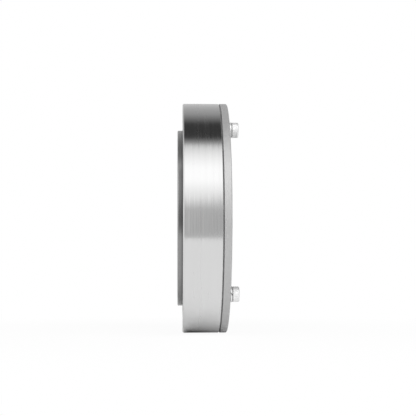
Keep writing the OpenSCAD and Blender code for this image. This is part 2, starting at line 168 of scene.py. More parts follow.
class GearFinishes(bpy.types.PropertyGroup):
    """Colours and grain sizes of the finishes."""

    ground_steel: bpy.props.StringProperty(
        name="Ground steel", description="Colour of the ground bearing ring", default="#dadada"
    )
    dark_steel: bpy.props.StringProperty(
        name="Dark steel", description="Colour of the oiled, tempered steel", default="#a2a2a2"
    )
    peened_steel: bpy.props.StringProperty(
        name="Peened steel", description="Colour of the shot-peened flexible gear",
        default="#b8b8b8"
    )
    screw_steel: bpy.props.StringProperty(
        name="Screw steel", description="Colour of the plated screws", default="#ececec"
    )
    race_steel: bpy.props.StringProperty(
        name="Race steel", description="Colour of the honed races, balls and rollers",
        default="#d4d4d6"
    )
    rubber: bpy.props.StringProperty(
        name="Rubber", description="Colour of the nitrile seals", default="#232323"
    )
    polyamide: bpy.props.StringProperty(
        name="Polyamide", description="Colour of the glass-filled cage and spacers",
        default="#b39a68"
    )
    # Real grinding lines and dimples are finer than these two, which are as coarse as they need to
    # be to show
    grind_pitch: bpy.props.FloatProperty(
        name="Grinding lines", description="Distance between grinding lines", default=0.35 * MM,
        unit="LENGTH"
    )
    peen_size: bpy.props.FloatProperty(
        name="Peening dimples", description="Size of a peening dimple", default=0.25 * MM,
        unit="LENGTH"
    )


class GearStage(bpy.types.PropertyGroup):
    """The floor, the room, the lamp and the camera."""

    floor_colour: bpy.props.StringProperty(
        name="Floor", description="Colour of the floor", default="#e6e6e6"
    )
    camera_distance: bpy.props.FloatProperty(
        name="Camera distance", description="From the turning axis to the camera",
        default=0.3365, unit="LENGTH"
    )
    camera_elevation: bpy.props.FloatProperty(
        name="Camera elevation",
        description="How high the camera stands over the turning axis, as an angle",
        default=math.radians(-4.55), subtype="ANGLE"
    )
    camera_along: bpy.props.FloatProperty(
        name="Camera place", description="Where the camera stands along the turning axis",
        default=-1.7 * MM, unit="LENGTH"
    )
    camera_aim: bpy.props.FloatVectorProperty(
        name="Camera aim", description="Direction in which the camera looks",
        default=(0.03507, 0.99522, 0.09112), subtype="DIRECTION"
    )
    camera_roll: bpy.props.FloatProperty(
        name="Camera roll", description="How far the camera is turned about its own aim",
        default=math.radians(-0.15), subtype="ANGLE"
    )
    lens: bpy.props.FloatProperty(
        name="Lens", description="Focal length, in millimetres", default=73.35
    )
    box_light: bpy.props.FloatProperty(
        name="Soft box", description="Brightness of the long soft box over the near side",
        default=1.43
    )
    wall_light: bpy.props.FloatProperty(
        name="Walls", description="Brightness of the grey walls at the height of the object",
        default=0.58
    )
    gap_light: bpy.props.FloatProperty(
        name="Overhead", description="Brightness of the dark ceiling over the object",
        default=0.045
    )
    back_light: bpy.props.FloatProperty(
        name="Back", description="Brightness of the wall behind the object", default=0.7
    )
    side_light: bpy.props.FloatProperty(
        name="Side", description="Brightness of the white wall that the output faces",
        default=1.0
    )
    key_power: bpy.props.FloatProperty(
        name="Key power", description="Power of the soft lamp that lights the matte surfaces",
        default=4.9, unit="POWER"
    )


# -----------------------------------------------------------------------------------------------
# Helpers
# -----------------------------------------------------------------------------------------------


def linear(hex_code):
    """An sRGB colour such as #c0c0c0, as linear red, green, blue and alpha."""
    parts = [int(hex_code[i:i + 2], 16) / 255 for i in (1, 3, 5)]
    return [c / 12.92 if c <= 0.04045 else ((c + 0.055) / 1.055) ** 2.4 for c in parts] + [1.0]


def add_node(tree, kind, inputs=None, **settings):
    """Adds a node, sets its settings, and gives each named or numbered input a value or a link."""
    node = tree.nodes.new(kind)
    for name, value in settings.items():
        setattr(node, name, value)
    for key, value in (inputs or {}).items():
        if isinstance(value, bpy.types.NodeSocket):
            tree.links.new(value, node.inputs[key])
        else:
            node.inputs[key].default_value = value
    return node


def math_of(tree, operation, *values):
    """The result of one step of arithmetic on numbers and sockets."""
    return add_node(
        tree, "ShaderNodeMath", dict(enumerate(values)), operation=operation
    ).outputs[0]


def ranged(tree, value, start, end, low, high, smooth=False):
    """A value brought from the range start..end into the range low..high, and held at its ends. It
    runs straight, or as a smooth step."""
    step = "SMOOTHSTEP" if smooth else "LINEAR"
    inputs = {0: value, 1: start, 2: end, 3: low, 4: high}
    return add_node(tree, "ShaderNodeMapRange", inputs, interpolation_type=step).outputs[0]


def empty_material(name):
    """A node material without nodes: (material, tree)."""
    material = bpy.data.materials.new(name)
    material.use_nodes = True
    material.node_tree.nodes.clear()
    return material, material.node_tree


def new_material(name):
    """A node material with a Principled shader: (material, tree, shader)."""
    material, tree = empty_material(name)
    shader = add_node(tree, "ShaderNodeBsdfPrincipled")
    add_node(tree, "ShaderNodeOutputMaterial", {"Surface": shader.outputs[0]})
    return material, tree, shader


def finish(objects, material):
    """Gives each object one material in every slot."""
    for obj in objects:
        if not obj.data.materials:
            obj.data.materials.append(material)
        for i in range(len(obj.material_slots)):
            obj.material_slots[i].material = material


def cad(*names):
    """The objects of some CAD nodes."""
    return [frame["nodes"][name] for name in names]


def new_object(name, data):
    """An object in the scene, from a mesh, a light or a camera."""
    obj = bpy.data.objects.new(name, data)
    bpy.context.scene.collection.objects.link(obj)
    return obj


def polar(angle, radius, along):
    """Points from arrays: angle from the top towards the near side, radius from the axis, and
    place along the axis."""
    angle, radius, along = np.broadcast_arrays(angle, radius, along)
    return np.stack([along, -radius * np.sin(angle), radius * np.cos(angle)], axis=-1)


def grid_mesh(name, grids):
    """An object from grids of points, each (array [rows, columns, 3], rows close up, columns
    close up)."""
    points, faces, start = [], [], 0
    for grid, wrap_rows, wrap_columns in grids:
        rows, columns = grid.shape[:2]
        index = start + np.arange(rows * columns).reshape(rows, columns)
        if wrap_rows:
            index = np.vstack([index, index[:1]])
        if wrap_columns:
            index = np.hstack([index, index[:, :1]])
        corners = [index[:-1, :-1], index[1:, :-1], index[1:, 1:], index[:-1, 1:]]
        points.append(grid.reshape(-1, 3))
        faces.append(np.stack(corners, axis=-1).reshape(-1, 4))
        start += rows * columns
    mesh = bpy.data.meshes.new(name)
    mesh.from_pydata(np.concatenate(points).tolist(), [], np.concatenate(faces).tolist())
    tidy_mesh(mesh, SHARP_FROM)
    return new_object(name, mesh)


def tidy_mesh(mesh, sharp_from):
    """Welds a mesh, turns its faces outwards and shades it smooth, with sharp edges from an angle
    in degrees."""
    work = bmesh.new()
    work.from_mesh(mesh)
    bmesh.ops.remove_doubles(work, verts=work.verts, dist=WELD)
    bmesh.ops.dissolve_degenerate(work, edges=work.edges, dist=CRUMB)
    bmesh.ops.recalc_face_normals(work, faces=work.faces)
    work.to_mesh(mesh)
    work.free()
    mesh.shade_smooth()
    mesh.set_sharp_from_angle(angle=math.radians(sharp_from))
    mesh.update()


def place(obj, body, slot, material, *nodes):
    """Finishes a piece: its material, the body that it rides on, and the CAD nodes that it stands
    for. slot is not used."""
    finish([obj], material)
    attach(obj, body)
    if nodes:
        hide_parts(*nodes)


# -----------------------------------------------------------------------------------------------
# Finishes
# -----------------------------------------------------------------------------------------------


def place_on(tree):
    """The place on a piece, in metres."""
    return add_node(tree, "ShaderNodeTexCoord").outputs["Object"]


def around_axis(tree):
    """The place on a piece: along the axis, the radius, and the direction round the axis as a unit
    vector."""
    split = add_node(tree, "ShaderNodeSeparateXYZ", {0: place_on(tree)})
    spoke = add_node(tree, "ShaderNodeCombineXYZ", {1: split.outputs[1], 2: split.outputs[2]})
    radius = add_node(tree, "ShaderNodeVectorMath", {0: spoke.outputs[0]}, operation="LENGTH")
    way = add_node(tree, "ShaderNodeVectorMath", {0: spoke.outputs[0]}, operation="NORMALIZE")
    return split.outputs[0], radius.outputs["Value"], way.outputs[0]


def angle_round(tree, way):
    """The angle round the axis of a direction, from the side that faces -Y towards the top."""
    split = add_node(tree, "ShaderNodeSeparateXYZ", {0: way})
    near = math_of(tree, "MULTIPLY", split.outputs[1], -1.0)
    return math_of(tree, "ARCTAN2", split.outputs[2], near)


def near_angle(tree, angle, middle, half_width):
    """1 in the inner half of a sector round the axis, falling to 0 at its ends. The sector's
    middle and half width are in degrees."""
    off = math_of(tree, "SUBTRACT", angle, math.radians(middle))
    size = math_of(tree, "ABSOLUTE", math_of(tree, "WRAP", off, math.pi, -math.pi))
    edge = math.radians(half_width)
    return ranged(tree, size, edge, edge / 2, 0.0, 1.0, smooth=True)


def turned_grain(tree, pitch, reach):
    """Noise drawn out into lines round the axis, on faces and on rims alike: a value from 0 to 1.

    The four noise coordinates are the place along the axis and the radius, both over the pitch of
    the lines, and the direction round the axis as a cosine and a sine, times reach, so that a line
    runs about a turn over 6 reach.
    """
    x, radius, way = around_axis(tree)
    around = add_node(tree, "ShaderNodeSeparateXYZ", {0: way})
    along = math_of(tree, "MULTIPLY", x, 1 / pitch)
    out = math_of(tree, "MULTIPLY", radius, 1 / pitch)
    cosine = math_of(tree, "MULTIPLY", around.outputs[1], reach)
    sine = math_of(tree, "MULTIPLY", around.outputs[2], reach)
    where = add_node(tree, "ShaderNodeCombineXYZ", {0: along, 1: cosine, 2: sine}).outputs[0]
    return add_node(
        tree, "ShaderNodeTexNoise",
        {"Vector": where, "W": out, "Scale": 1.0, "Detail": 4.0, "Roughness": 0.65},
        noise_dimensions="4D",
    ).outputs[0]


def noise_of(tree, where, size, **inputs):
    """Cloudy noise with patches of a size in metres: a value from 0 to 1."""
    inputs.update({"Vector": where, "Scale": 1 / size})
    return add_node(tree, "ShaderNodeTexNoise", inputs).outputs[0]


def stretch(tree, value, low, high):
    """A noise value brought into the range from low to high."""
    return ranged(tree, value, NOISE_LOW, NOISE_HIGH, low, high)


def times(tree, colour, level):
    """A colour times a grey level."""
    grey = add_node(tree, "ShaderNodeCombineColor", {0: level, 1: level, 2: level})
    return add_node(
        tree, "ShaderNodeMix", {"Factor": 1.0, 6: colour, 7: grey.outputs[0]},
        data_type="RGBA", blend_type="MULTIPLY",
    ).outputs[2]


def shade_of(tree, value, hex_code, low, high):
    """A colour made darker or lighter by a noise value: from low to high times the colour."""
    return times(tree, linear(hex_code), stretch(tree, value, low, high))


def paint(tree, shader, colour, roughness, metallic=0.0):
    """Gives a shader its colour and roughness, and how far it is a metal."""
    tree.links.new(colour, shader.inputs["Base Color"])
    tree.links.new(roughness, shader.inputs["Roughness"])
    shader.inputs["Metallic"].default_value = metallic


def bumps(tree, shader, height, depth, strength):
    """Gives a shader small bumps of a depth in metres."""
    bump = add_node(
        tree, "ShaderNodeBump", {"Strength": strength, "Distance": depth, "Height": height}
    )
    tree.links.new(bump.outputs[0], shader.inputs["Normal"])


def turned_shine(tree, shader, anisotropy):
    """Smears a shader's highlights along the axis, as lines round the axis do."""
    tangent = add_node(tree, "ShaderNodeTangent", direction_type="RADIAL", axis="X")
    tree.links.new(tangent.outputs[0], shader.inputs["Tangent"])
    shader.inputs["Anisotropic"].default_value = anisotropy
    shader.inputs["Anisotropic Rotation"].default_value = 0.25


def streak_share(tree):
    """1 in the streak sectors of the rim, where painted reflection streaks go, and 0 between them.
    """
    angle = angle_round(tree, around_axis(tree)[2])
    share = 0.0
    for middle, half_width in STREAK_SECTORS:
        share = math_of(tree, "MAXIMUM", near_angle(tree, angle, middle, half_width), share)
    return share


def painted_spigot_shade(tree, root_shade, patch):
    """A factor from 1 down for the spigot's colour. Painted shade darkens the spigot at its root,
    next to the ring's front face, and on the near side a darker patch covers it from near its front
    edge to the root. root_shade and patch are how much they darken. Behind the seal the colour is
    left as it is."""
    root_shade_from, root_shade_full = -0.8 * MM, -0.1 * MM
    patch_from, patch_full = -1.7 * MM, -1.3 * MM
    patch_middle, patch_half_width = 8, 26
    seal_from, seal_end = 0.1 * MM, 0.2 * MM
    rim_from, rim_full = SPIGOT_RADIUS - 0.5 * MM, SPIGOT_RADIUS - 0.3 * MM
    x, radius, way = around_axis(tree)
    # painted shade: darker towards the spigot's root, next to the ring's front face
    root = ranged(tree, x, root_shade_from, root_shade_full, 1.0, 1 - root_shade, smooth=True)
    # a darker patch on the near side, from near the front edge to the root
    spread = ranged(tree, x, patch_from, patch_full, 0.0, patch, smooth=True)
    sector = near_angle(tree, angle_round(tree, way), patch_middle, patch_half_width)
    beside = math_of(tree, "SUBTRACT", 1.0, math_of(tree, "MULTIPLY", spread, sector))
    painted_light_factor = math_of(tree, "MULTIPLY", root, beside)
    outside = ranged(tree, radius, rim_from, rim_full, 1.0, painted_light_factor)
    return ranged(tree, x, seal_from, seal_end, outside, 1.0)


def ground_steel(finishes):
    """Through-hardened bearing steel, cylindrically ground: bright, with hair lines all the way
    round that smear every highlight along the axis into one broad band. Coarser lines end the
    bands unevenly, and in the streak sectors they are also painted into the colour as darker and
    lighter streaks, which are painted reflection streaks."""
    material, tree, shader = new_material("ground_bearing_steel")
    hair = turned_grain(tree, finishes.grind_pitch, reach=2.5)
    streaks = turned_grain(tree, 2.6 * finishes.grind_pitch, reach=1.2)
    streaked = streak_share(tree)
    # painted reflection streaks: the coarser lines painted into the colour, lighter and darker, in
    # the streak sectors
    lines = math_of(tree, "MULTIPLY", stretch(tree, streaks, -0.12, 0.16), streaked)
    painted_light_factor = math_of(tree, "SUBTRACT", 1.0, lines)
    colour = shade_of(tree, hair, finishes.ground_steel, 0.98, 1.0)
    mean_roughness, unevenness, unstreaked = 0.225, 0.145, 0.6
    depth = ranged(tree, streaked, 0.0, 1.0, unstreaked, 1.0)
    uneven = stretch(tree, streaks, -unevenness, unevenness)
    roughness = math_of(tree, "MULTIPLY_ADD", uneven, depth, mean_roughness)
    paint(tree, shader, times(tree, colour, painted_light_factor), roughness, metallic=1.0)
    turned_shine(tree, shader, anisotropy=0.85)
    bumps(tree, shader, hair, depth=0.004 * MM, strength=0.1)
    return material


def dark_steel(finishes):
    """Quenched and tempered steel, turned and left oiled: dark grey, with faint turning lines and
    a low sheen. Painted shade darkens the spigot towards its root, and a darker patch lies on its
    near side."""
    material, tree, shader = new_material("oiled_tempered_steel")
    lines = turned_grain(tree, 1.3 * finishes.grind_pitch, reach=4.0)
    colour = shade_of(tree, lines, finishes.dark_steel, 0.85, 1.0)
    # painted shade at the spigot's root, and a darker patch on its near side
    painted_light_factor = painted_spigot_shade(tree, root_shade=0.4, patch=0.5)
    paint(tree, shader, times(tree, colour, painted_light_factor), stretch(tree, lines, 0.26, 0.38), metallic=0.72)
    turned_shine(tree, shader, anisotropy=0.5)
    bumps(tree, shader, lines, depth=0.006 * MM, strength=0.2)
    return material


def peened_steel(finishes):
    """Alloy steel, shot-peened against fatigue: a matte, even grey made of dimples that nearly
    touch."""
    material, tree, shader = new_material("shot_peened_steel")
    where = place_on(tree)
    dimples = add_node(
        tree, "ShaderNodeTexVoronoi", {"Vector": where, "Scale": 1 / finishes.peen_size},
        feature="SMOOTH_F1",
    ).outputs["Distance"]
    cloud = noise_of(tree, where, 2.5 * finishes.peen_size, Detail=5.0)
    colour = shade_of(tree, cloud, finishes.peened_steel, 0.9, 1.0)
    paint(tree, shader, colour, stretch(tree, cloud, 0.42, 0.5), metallic=0.6)
    bumps(tree, shader, dimples, depth=0.02 * MM, strength=0.35)
    return material


def screw_steel(finishes):
    """Barrel-plated alloy steel: a pale, milky bright grey, with soft scuffs from the box and the
    key. Painted shade lies as a dark line in the seam between washer and head."""
    material, tree, shader = new_material("barrel_plated_steel")
    scuffs = noise_of(tree, place_on(tree), 0.6 * MM, Detail=5.0, Distortion=0.6)
    colour = shade_of(tree, scuffs, finishes.screw_steel, 0.9, 1.0)
    # painted shade: a dark line round the seam between washer and head
    x = around_axis(tree)[0]
    off_seam = math_of(tree, "ABSOLUTE", math_of(tree, "SUBTRACT", x, WASHERS_HIGH[0]))
    painted_light_factor = ranged(tree, off_seam, 0.1 * MM, 0.35 * MM, 0.55, 1.0)
    paint(tree, shader, times(tree, colour, painted_light_factor), stretch(tree, scuffs, 0.3, 0.44), metallic=0.7)
    return material


def race_steel(finishes):
    """Bearing steel, honed: near mirror bright, with very fine lines along the running way."""
    material, tree, shader = new_material("honed_race_steel")
    lines = turned_grain(tree, 0.5 * finishes.grind_pitch, reach=3.0)
    colour = shade_of(tree, lines, finishes.race_steel, 0.94, 1.0)
    paint(tree, shader, colour, stretch(tree, lines, 0.08, 0.18), metallic=1.0)
    return material


def nitrile_rubber(finishes):
    """Nitrile rubber, moulded and lightly greased: black, soft and dull, with a satin skin."""
    material, tree, shader = new_material("nitrile_rubber")
    skin = noise_of(tree, place_on(tree), 0.4 * MM, Detail=4.0)
    colour = shade_of(tree, skin, finishes.rubber, 0.8, 1.15)
    paint(tree, shader, colour, stretch(tree, skin, 0.42, 0.6))
    bumps(tree, shader, skin, depth=0.02 * MM, strength=0.3)
    return material


def cage_polyamide(finishes):
    """Glass-filled polyamide, moulded: straw coloured, with short fibres that show as a faint
    fleck."""
    material, tree, shader = new_material("glass_filled_polyamide")
    squeeze = {"Vector": place_on(tree), "Scale": (1.0, 0.25, 1.0)}
    where = add_node(tree, "ShaderNodeMapping", squeeze).outputs[0]
    fibres = noise_of(tree, where, 0.2 * MM, Detail=3.0)
    colour = shade_of(tree, fibres, finishes.polyamide, 0.85, 1.1)
    paint(tree, shader, colour, stretch(tree, fibres, 0.4, 0.55))
    return material


# -----------------------------------------------------------------------------------------------
# Pieces
# -----------------------------------------------------------------------------------------------


def lift(angle, wave):
    """How far the wave pushes a wall out, at an angle from its crest."""
    return wave * np.cos(2 * angle)


def turn_of(steps):
    """The angles of a full turn in equal steps."""
    return np.arange(steps) * FULL_TURN / steps


def tooth_outline(sizes):
    """One tooth and half a gap on each side, as (sideways offset, height over the root) from the
    tooth's centre. A tip corner and a root corner are each a short arc of three points."""
    pitch = FULL_TURN * (sizes.rim_bore + sizes.rim_wall) / sizes.tooth_count
    flank = math.radians(28)
    slope = math.tan(flank)
    height = 1.9 * sizes.module
    # Half the width of a tooth, and how far over its root that is measured
    half_width, measured_at = 0.7 * sizes.module, 1.1 * sizes.module
    root = half_width + measured_at * slope
    tip = root - height * slope
    corner = 0.12 * sizes.module
    half = [
        (0.0, height), (tip - corner, height), (tip - 0.1 * corner, height - 0.35 * corner),
        (tip + 0.6 * corner, height - corner), (root - corner * slope, 1.2 * corner),
        (root + 0.3 * corner, 0.3 * corner), (root + corner, 0.0), (pitch / 2, 0.0),
    ]
    left = [(-side, up) for side, up in reversed(half[1:])]
    return np.array(left + half[:-1])


def flexed_teeth(sizes, shrink):
    """The toothed outline on the wave: (angles, radii). Each tooth stands on the wall's neutral
    line, pushed out by w cos 2a and along by -w/2 sin 2a, and leans by 1.5 w/r sin 2a. shrink
    draws the outline in."""
    neutral = sizes.rim_bore + sizes.rim_wall / 2
    outline = tooth_outline(sizes)
    centre = turn_of(sizes.tooth_count)[:, None]
    side, up = outline[None, :, 0], outline[None, :, 1]
    root_radius = sizes.rim_bore + sizes.rim_wall
    bend = side / root_radius * np.clip(1 - up / sizes.module, 0, 1)
    turn = 1.5 * sizes.wave / neutral * np.sin(2 * centre)
    height = sizes.rim_wall / 2 + up - shrink
    foot_out = neutral + lift(centre, sizes.wave)
    foot_along = -sizes.wave / 2 * np.sin(2 * centre)
    out = foot_out + height * np.cos(turn) - side * np.sin(turn) - side * bend / 2
    along = foot_along + height * np.sin(turn) + side * np.cos(turn)
    angle = centre + np.arctan2(along, out)
    return angle.ravel(), np.hypot(along, out).ravel()


def barrel_surface(sizes):
    """The flexible barrel as one closed band: round the axis it follows the teeth, and along its
    section it goes from the bore's front edge out over the toothed rim, down to the thin wall, on
    to the end, and back inside. Behind the rim the wave dies out as a cosine, and near the end
    the wall is as thick as the rim's again."""
    front = FLEX_LOW[0]
    rim_end = front + sizes.tooth_length
    end = FLEX_HIGH[0] - sizes.barrel_end
    bevel = 0.12 * MM
    tooth_angle, tooth_radius = flexed_teeth(sizes, 0.0)
    _, low_radius = flexed_teeth(sizes, bevel)
    bore = sizes.rim_bore + lift(tooth_angle, sizes.wave)
    rows = [
        (front, bore + bevel), (front, low_radius), (front + bevel, tooth_radius),
        (rim_end - bevel, tooth_radius), (rim_end, low_radius),
    ]
    middle = sizes.rim_bore + sizes.rim_wall / 2
    wall_rows = 12
    steps = np.linspace(0, 1, wall_rows)
    for side, order in ((1, steps), (-1, steps[::-1])):
        for t in order:
            share = (1 + math.cos(math.pi * t)) / 2
            wall = sizes.barrel_wall + (sizes.rim_wall - sizes.barrel_wall) * t ** 6
            radius = middle + side * wall / 2 + share * lift(tooth_angle, sizes.wave)
            rows.append((rim_end + (end - rim_end) * t, radius))
    rows += [(rim_end, bore), (front + bevel, bore)]
    return np.stack([polar(tooth_angle, radius, along) for along, radius in rows])


def flange_mesh(sizes):
    """The flexible gear's diaphragm and flange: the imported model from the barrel's end on, closed
    where it is cut."""
    mesh = frame["nodes"]["flexspline"].data.copy()
    mesh.name = "flexspline_flange"
    cut = FLEX_HIGH[0] - sizes.barrel_end
    work = bmesh.new()
    work.from_mesh(mesh)
    bmesh.ops.remove_doubles(work, verts=work.verts, dist=WELD)
    parts = list(work.verts) + list(work.edges) + list(work.faces)
    bmesh.ops.bisect_plane(
        work, geom=parts, plane_co=(cut, 0, 0), plane_no=(1, 0, 0), clear_inner=True, dist=CRUMB
    )
    rim = [edge for edge in work.edges if edge.is_boundary]
    bmesh.ops.triangle_fill(work, edges=rim, use_beauty=True)
    work.to_mesh(mesh)
    work.free()
    tidy_mesh(mesh, FLANGE_SHARP_FROM)
    return mesh


def flexed_ring(section, wave):
    """A ring that follows the wave: its closed section of (place along the axis, radius) is
    carried round, pushed out by w cos 2a."""
    steps = 360
    angle = turn_of(steps)
    section = np.asarray(section)
    radius = section[None, :, 1] + lift(angle, wave)[:, None]
    return polar(angle[:, None], radius, section[None, :, 0])


def arc(centre, radius, first, last, steps):
    """Points of an arc in the plane of (place along the axis, radius), angles in degrees."""
    angle = np.radians(np.linspace(first, last, steps))
    along, out = centre[0] + radius * np.cos(angle), centre[1] + radius * np.sin(angle)
    return np.stack([along, out], axis=-1).tolist()


def race_section(low, high, rim, back, ball_at, ball, outer):
    """The section of a bearing race: rounded corners at its back, small bevels at its rim, and a
    ball groove 4 % rounder than the ball."""
    corner, corner_steps = 0.25 * MM, 4
    bevel = 0.1 * MM
    groove, groove_steps = ball * 1.04, 14
    spread = math.degrees(math.asin(abs(rim - ball_at[1]) / groove))
    if outer:
        return (
            arc((low + corner, back - corner), corner, 180, 90, corner_steps)
            + arc((high - corner, back - corner), corner, 90, 0, corner_steps)
            + [(high, rim + bevel), (high - bevel, rim)]
            + arc(ball_at, groove, spread, 180 - spread, groove_steps)
            + [(low + bevel, rim), (low, rim + bevel)]
        )
    return (
        arc((high - corner, back + corner), corner, 0, -90, corner_steps)
        + arc((low + corner, back + corner), corner, -90, -180, corner_steps)
        + [(low, rim - bevel), (low + bevel, rim)]
        + arc(ball_at, groove, 180 + spread, 360 - spread, groove_steps)
        + [(high - bevel, rim), (high, rim - bevel)]
    )


def screw_grids(seat, length, thread, head_height):
    """A socket head screw along X, its head's underside at seat: a fluted head with a rounded
    crown, a hexagon socket with a countersunk mouth, and a shank. Its profile is carried round
    the screw's axis."""
    head = thread + 1.25 * MM
    top = seat + head_height
    bevel = 0.25 * MM
    crown, crown_steps, under_crown = 0.45 * MM, 7, 0.1 * MM
    key, depth, drill_cone = 1.25 * MM, 1.6 * MM, 0.3 * MM
    mouth_rim, mouth_depth = 0.12 * MM, 0.15 * MM
    flutes, flute_depth = 36, 0.025
    steps = 216
    angle = turn_of(steps)
    flute = 1 - flute_depth * (0.5 + 0.5 * np.cos(flutes * angle))
    hexagon = key / np.cos((angle + math.pi / 6) % (math.pi / 3) - math.pi / 6)
    mouth = key / math.cos(math.pi / 6) + mouth_rim
    plain = np.ones(steps)
    end = seat - length
    rows = [
        (end, 0.0 * plain), (end, (thread - bevel) * plain), (end + bevel, thread * plain),
        (seat, thread * plain), (seat, (head - bevel) * plain), (seat + bevel, head * flute),
        (top - crown - under_crown, head * flute),
    ]
    for t in np.linspace(0, 1, crown_steps):
        bend = math.radians(90 * t)
        radius = head - crown + crown * math.cos(bend)
        rows.append((top - crown + crown * math.sin(bend), radius * plain))
    rows += [
        (top, mouth * plain), (top - mouth_depth, hexagon), (top - depth, hexagon),
        (top - depth - drill_cone, 0.0 * plain),
    ]
    return np.stack([polar(angle, radius, along) for along, radius in rows], axis=1)


def washer_grid(low, high, thread):
    """A spring washer: a square wire carried once round, lying flat, with a slanted gap between its
    ends."""
    inner, outer = thread + 0.1 * MM, thread + 1.35 * MM
    thick = high - low
    bevel = 0.08 * MM
    section = np.array([
        (0, inner + bevel), (bevel, inner), (thick - bevel, inner), (thick, inner + bevel),
        (thick, outer - bevel), (thick - bevel, outer), (bevel, outer), (0, outer - bevel),
    ])
    split, gap, slant = math.radians(-45), math.radians(11), math.radians(16)
    rings = 73
    turn = np.linspace(0, 1, rings)[:, None]
    height = section[None, :, 0]
    lean = slant * (height / thick - 0.5)
    angle = split + gap / 2 + lean + turn * (FULL_TURN - gap)
    return polar(angle, section[None, :, 1], low + height)


def close_ends(grid):
    """A tube's grid with its first and last ring drawn in to their centres."""
    first = grid[:1].mean(axis=1, keepdims=True) + 0 * grid[:1]
    last = grid[-1:].mean(axis=1, keepdims=True) + 0 * grid[-1:]
    return np.concatenate([first, grid, last])


def moved_round(grid, radius, angle):
    """A grid along X carried out to a radius, and round the axis by an angle from the top."""
    c, s = math.cos(angle), math.sin(angle)
    turned = grid.copy()
    out = grid[..., 2] + radius
    turned[..., 1] = grid[..., 1] * c - out * s
    turned[..., 2] = grid[..., 1] * s + out * c
    return turned


# -----------------------------------------------------------------------------------------------
# Operators
# -----------------------------------------------------------------------------------------------


class GEAR_OT_bearing_rings(bpy.types.Operator):
    """Finish the outer ring, its plug and pin, the seal and the crossed rollers"""

    bl_idname = "strain_gear.bearing_rings"
    bl_label = "Bearing rings"

    def execute(self, context):
        finishes = context.scene.gear_finishes
        dark = cad("circular_spline", "wave_cam", "plug_pin", "seal_case", "hub_set_screws")
        rolling = cad("rollers_leaning_in", "rollers_leaning_out", "bearing_balls")
        finish(cad("outer_ring", "roller_plug"), ground_steel(finishes))
        finish(dark, dark_steel(finishes))
        finish(cad("front_seal", "flange_o_ring"), nitrile_rubber(finishes))
        finish(rolling, race_steel(finishes))
        finish(cad("seal_spring"), screw_steel(finishes))
        finish(cad("roller_spacers", "ball_cage"), cage_polyamide(finishes))
        return {"FINISHED"}


class GEAR_OT_flexible_gear(bpy.types.Operator):
    """Build the flexible gear: its toothed barrel, whose oval turns with the cam, and its flange"""

    bl_idname = "strain_gear.flexible_gear"
    bl_label = "Flexible gear"

    def execute(self, context):
        sizes = context.scene.gear_sizes
        steel = peened_steel(context.scene.gear_finishes)
        barrel = grid_mesh("flexspline_barrel", [(barrel_surface(sizes), True, True)])
        place(barrel, "wave_generator", "peened_steel", steel, "flexspline")
        flange = new_object("flexspline_flange", flange_mesh(sizes))
        even = flange.modifiers.new("even_faces", "WEIGHTED_NORMAL")
        even.weight = 100
        even.keep_sharp = True
        place(flange, "case", "peened_steel", steel, "flexspline")
        return {"FINISHED"}


class GEAR_OT_wave_bearing(bpy.types.Operator):
    """Build the two oval races of the wave generator's ball bearing"""

    bl_idname = "strain_gear.wave_bearing"
    bl_label = "Wave generator bearing"

    def execute(self, context):
        sizes = context.scene.gear_sizes
        steel = race_steel(context.scene.gear_finishes)
        outer_back = OUTER_RACE_HIGH[2] - sizes.wave
        outer_rim = outer_back - sizes.outer_race_wall
        inner_rim = INNER_RACE_HIGH[2] - sizes.wave
        inner_back = inner_rim - sizes.inner_race_wall
        ball_at = ((BALLS_LOW[0] + BALLS_HIGH[0]) / 2, (outer_rim + inner_rim) / 2)
        for name, low, high, rim, back, outer in (
            ("bearing_outer_race", OUTER_RACE_LOW, OUTER_RACE_HIGH, outer_rim, outer_back, True),
            ("bearing_inner_race", INNER_RACE_LOW, INNER_RACE_HIGH, inner_rim, inner_back, False),
        ):
            section = race_section(low[0], high[0], rim, back, ball_at, sizes.ball_radius, outer)
            ring = grid_mesh(name + "_ground", [(flexed_ring(section, sizes.wave), True, True)])
            place(ring, "wave_generator", "race_steel", steel, name)
        return {"FINISHED"}


class GEAR_OT_fasteners(bpy.types.Operator):
    """Build the socket screws and their spring washers"""

    bl_idname = "strain_gear.fasteners"
    bl_label = "Screws and washers"

    def execute(self, context):
        sizes = context.scene.gear_sizes
        steel = screw_steel(context.scene.gear_finishes)
        seat = WASHERS_HIGH[0]
        circle, first, count = sizes.bolt_circle, 45, sizes.screw_count
        screw = screw_grids(seat, seat - SCREWS_LOW[0], sizes.thread, SCREWS_HIGH[0] - seat)
        washer = washer_grid(WASHERS_LOW[0], seat, sizes.thread)
        angles = [math.radians(first + 360 * i / count) for i in range(count)]
        screws = [(moved_round(screw, circle, a), True, False) for a in angles]
        washers = [(close_ends(moved_round(washer, circle, a)), False, True) for a in angles]
        socket_screws = grid_mesh("socket_screws", screws)
        place(socket_screws, "case", "screw_steel", steel, "assembly_screws")
        split_washers = grid_mesh("split_washers", washers)
        place(split_washers, "case", "screw_steel", steel, "spring_washers")
        return {"FINISHED"}


class GEAR_OT_stage(bpy.types.Operator):
    """Set up the floor, the room, the lamp and the camera"""

    bl_idname = "strain_gear.stage"
    bl_label = "Stage"

    def execute(self, context):
        stage = context.scene.gear_stage
        build_room(stage)
        build_floor(stage)
        build_lamp(stage)
        build_camera(stage)
        context.scene.view_settings.view_transform = "Standard"
        return {"FINISHED"}


